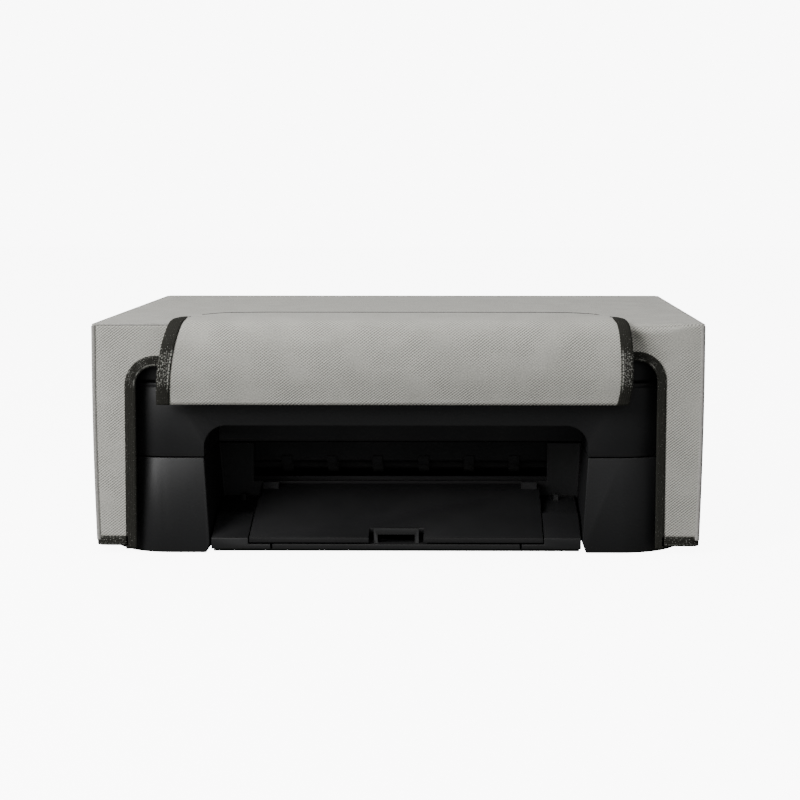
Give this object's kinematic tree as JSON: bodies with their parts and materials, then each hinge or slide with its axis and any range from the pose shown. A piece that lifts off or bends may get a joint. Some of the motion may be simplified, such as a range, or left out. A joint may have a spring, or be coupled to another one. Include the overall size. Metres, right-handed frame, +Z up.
{
  "type": "inkjet printer",
  "caption": "Black all-in-one inkjet printer under a fitted light grey fabric dust cover with dark binding, a front cut-out and a hanging front flap.",
  "frame": {"origin": "centre of the footprint of the covered printer, on the surface it stands on", "axes": "+X to the printer's right as seen from its front, +Y to its back, so the paper comes out towards -Y, +Z up"},
  "size_m": [0.44, 0.334, 0.1734],
  "materials": {
    "case_black": "fine texture, satin",
    "inner_black": "matte",
    "rubber_black": "matte",
    "cartridge_black": "gloss",
    "steel": "satin",
    "gear_white": "satin",
    "white_plastic": "matte",
    "board_green": "satin",
    "platen_glass": "clear",
    "cover_fabric": "twill weave, matte",
    "binding_tape": "ribbed tape, matte"
  },
  "bodies": {
    "base": {"base_case": "case_black", "foot_front_left": "rubber_black", "foot_front_right": "rubber_black", "foot_rear_left": "rubber_black", "foot_rear_right": "rubber_black", "rear_housing": "case_black", "rear_hopper": "inner_black", "chassis": "steel", "carriage_rail": "steel", "carriage_belt": "rubber_black", "carriage_motor": "steel", "feed_motor": "steel", "roller_bracket_left": "inner_black", "roller_bracket_right": "inner_black", "platen_frame": "inner_black", "star_wheel_bar": "inner_black", "service_station": "inner_black", "main_board": "board_green", "power_supply": "inner_black", "tray_apron": "case_black"},
    "dust_cover": {"cover_top": "cover_fabric", "cover_left": "cover_fabric", "cover_right": "cover_fabric", "cover_back": "cover_fabric", "cover_front": "cover_fabric", "front_binding": "binding_tape", "hem_binding": "binding_tape"},
    "cover_flap": {"flap": "cover_fabric"},
    "scanner_unit": {"middle_shell": "case_black", "scanner_bed": "case_black", "hinge_rod": "steel", "scanner_bezel": "case_black", "scanner_glass": "platen_glass", "control_panel": "case_black", "lid_hinge_bar": "inner_black"},
    "scanner_lid": {"lid_shell": "case_black", "lid_backing_pad": "white_plastic"},
    "scan_head": {"scan_head": "inner_black"},
    "power_button": {"power_button": "white_plastic"},
    "wireless_button": {"wireless_button": "white_plastic"},
    "copy_button": {"copy_button": "white_plastic"},
    "stop_button": {"stop_button": "white_plastic"},
    "carriage": {"carriage": "inner_black", "ink_cartridge_colour": "cartridge_black", "ink_cartridge_black": "cartridge_black"},
    "motor_pulley": {"motor_pulley": "gear_white"},
    "idler_pulley": {"idler_pulley": "gear_white"},
    "feed_roller": {"feed_roller": "steel", "feed_gear": "gear_white"},
    "transfer_gear": {"transfer_gear": "gear_white"},
    "exit_roller": {"exit_roller": "rubber_black", "exit_gear": "gear_white"},
    "motor_pinion": {"motor_pinion": "gear_white"},
    "star_wheels": {"star_wheels": "steel"},
    "pick_roller": {"pick_roller": "rubber_black"},
    "output_tray": {"output_tray": "case_black"},
    "tray_extension": {"tray_extension": "case_black"},
    "paper_support": {"paper_support": "case_black"},
    "paper_guide_right": {"paper_guide_right": "inner_black"},
    "paper_guide_left": {"paper_guide_left": "inner_black"}
  },
  "joints": [
    {"name": "cover_lift", "type": "slide", "parent": "base", "child": "dust_cover", "axis": [0, 0, 1], "range_m": [0, 0.45]},
    {"name": "flap_turn", "type": "hinge", "parent": "dust_cover", "child": "cover_flap", "pos_m": [0, -0.084, 0.1695], "axis": [-1, 0, 0], "range_deg": [0, 150]},
    {"name": "unit_open", "type": "hinge", "parent": "base", "child": "scanner_unit", "pos_m": [0, 0.114, 0.138], "axis": [-1, 0, 0], "range_deg": [0, 25]},
    {"name": "lid_open", "type": "hinge", "parent": "scanner_unit", "child": "scanner_lid", "pos_m": [0, 0.102, 0.156], "axis": [-1, 0, 0], "range_deg": [0, 60]},
    {"name": "support_open", "type": "hinge", "parent": "base", "child": "paper_support", "pos_m": [0, 0.1548, 0.1474], "axis": [-1, 0, 0], "range_deg": [0, 110]},
    {"name": "scan_travel", "type": "slide", "parent": "scanner_unit", "child": "scan_head", "axis": [1, 0, 0], "range_m": [0, 0.27]},
    {"name": "power_button_press", "type": "slide", "parent": "scanner_unit", "child": "power_button", "axis": [0, 0, -1], "range_m": [0, 0.0012], "stiffness_N_per_m": 400, "springref_m": -0.0003},
    {"name": "wireless_button_press", "type": "slide", "parent": "scanner_unit", "child": "wireless_button", "axis": [0, 0, -1], "range_m": [0, 0.0012], "stiffness_N_per_m": 400, "springref_m": -0.0003},
    {"name": "copy_button_press", "type": "slide", "parent": "scanner_unit", "child": "copy_button", "axis": [0, 0, -1], "range_m": [0, 0.0012], "stiffness_N_per_m": 400, "springref_m": -0.0003},
    {"name": "stop_button_press", "type": "slide", "parent": "scanner_unit", "child": "stop_button", "axis": [0, 0, -1], "range_m": [0, 0.0012], "stiffness_N_per_m": 400, "springref_m": -0.0003},
    {"name": "carriage_travel", "type": "slide", "parent": "base", "child": "carriage", "axis": [-1, 0, 0], "range_m": [0, 0.299]},
    {"name": "motor_pulley_turn", "type": "hinge", "parent": "base", "child": "motor_pulley", "pos_m": [-0.19, 0.046, 0.093], "axis": [0, 0, 1], "continuous": true},
    {"name": "idler_pulley_turn", "type": "hinge", "parent": "base", "child": "idler_pulley", "pos_m": [0.186, 0.046, 0.093], "axis": [0, 0, 1], "continuous": true},
    {"name": "feed_roller_turn", "type": "hinge", "parent": "base", "child": "feed_roller", "pos_m": [0, 0.018, 0.05], "axis": [1, 0, 0], "continuous": true},
    {"name": "transfer_gear_turn", "type": "hinge", "parent": "base", "child": "transfer_gear", "pos_m": [-0.2088, -0.017, 0.05], "axis": [1, 0, 0], "continuous": true},
    {"name": "exit_roller_turn", "type": "hinge", "parent": "base", "child": "exit_roller", "pos_m": [0, -0.052, 0.05], "axis": [1, 0, 0], "continuous": true},
    {"name": "motor_pinion_turn", "type": "hinge", "parent": "base", "child": "motor_pinion", "pos_m": [-0.2088, 0.02925, 0.03051], "axis": [1, 0, 0], "continuous": true},
    {"name": "star_wheels_turn", "type": "hinge", "parent": "base", "child": "star_wheels", "pos_m": [0, -0.052, 0.0608], "axis": [1, 0, 0], "continuous": true},
    {"name": "pick_roller_turn", "type": "hinge", "parent": "base", "child": "pick_roller", "pos_m": [0, 0.0962, 0.0877], "axis": [1, 0, 0], "continuous": true},
    {"name": "tray_slide", "type": "slide", "parent": "base", "child": "output_tray", "axis": [0, -1, 0], "range_m": [0, 0.05]},
    {"name": "extension_slide", "type": "slide", "parent": "output_tray", "child": "tray_extension", "axis": [0, -1, 0], "range_m": [0, 0.045]},
    {"name": "guide_right_slide", "type": "slide", "parent": "base", "child": "paper_guide_right", "axis": [-1, 0, 0], "range_m": [0, 0.04]},
    {"name": "guide_left_slide", "type": "slide", "parent": "base", "child": "paper_guide_left", "axis": [1, 0, 0], "range_m": [0, 0.04]}
  ],
  "couplings": [
    {"joint": "unit_open", "follows": "cover_lift", "rad_per_m": 0.9696},
    {"joint": "lid_open", "follows": "cover_lift", "rad_per_m": 2.327},
    {"joint": "support_open", "follows": "cover_lift", "rad_per_m": 4.266},
    {"joint": "motor_pulley_turn", "follows": "carriage_travel", "rad_per_m": -178.5},
    {"joint": "idler_pulley_turn", "follows": "carriage_travel", "rad_per_m": -178.5},
    {"joint": "transfer_gear_turn", "follows": "feed_roller_turn", "ratio": -0.75},
    {"joint": "exit_roller_turn", "follows": "feed_roller_turn", "ratio": 1},
    {"joint": "motor_pinion_turn", "follows": "feed_roller_turn", "ratio": -2},
    {"joint": "star_wheels_turn", "follows": "feed_roller_turn", "ratio": -1.3333},
    {"joint": "guide_left_slide", "follows": "guide_right_slide", "ratio": 1}
  ]
}
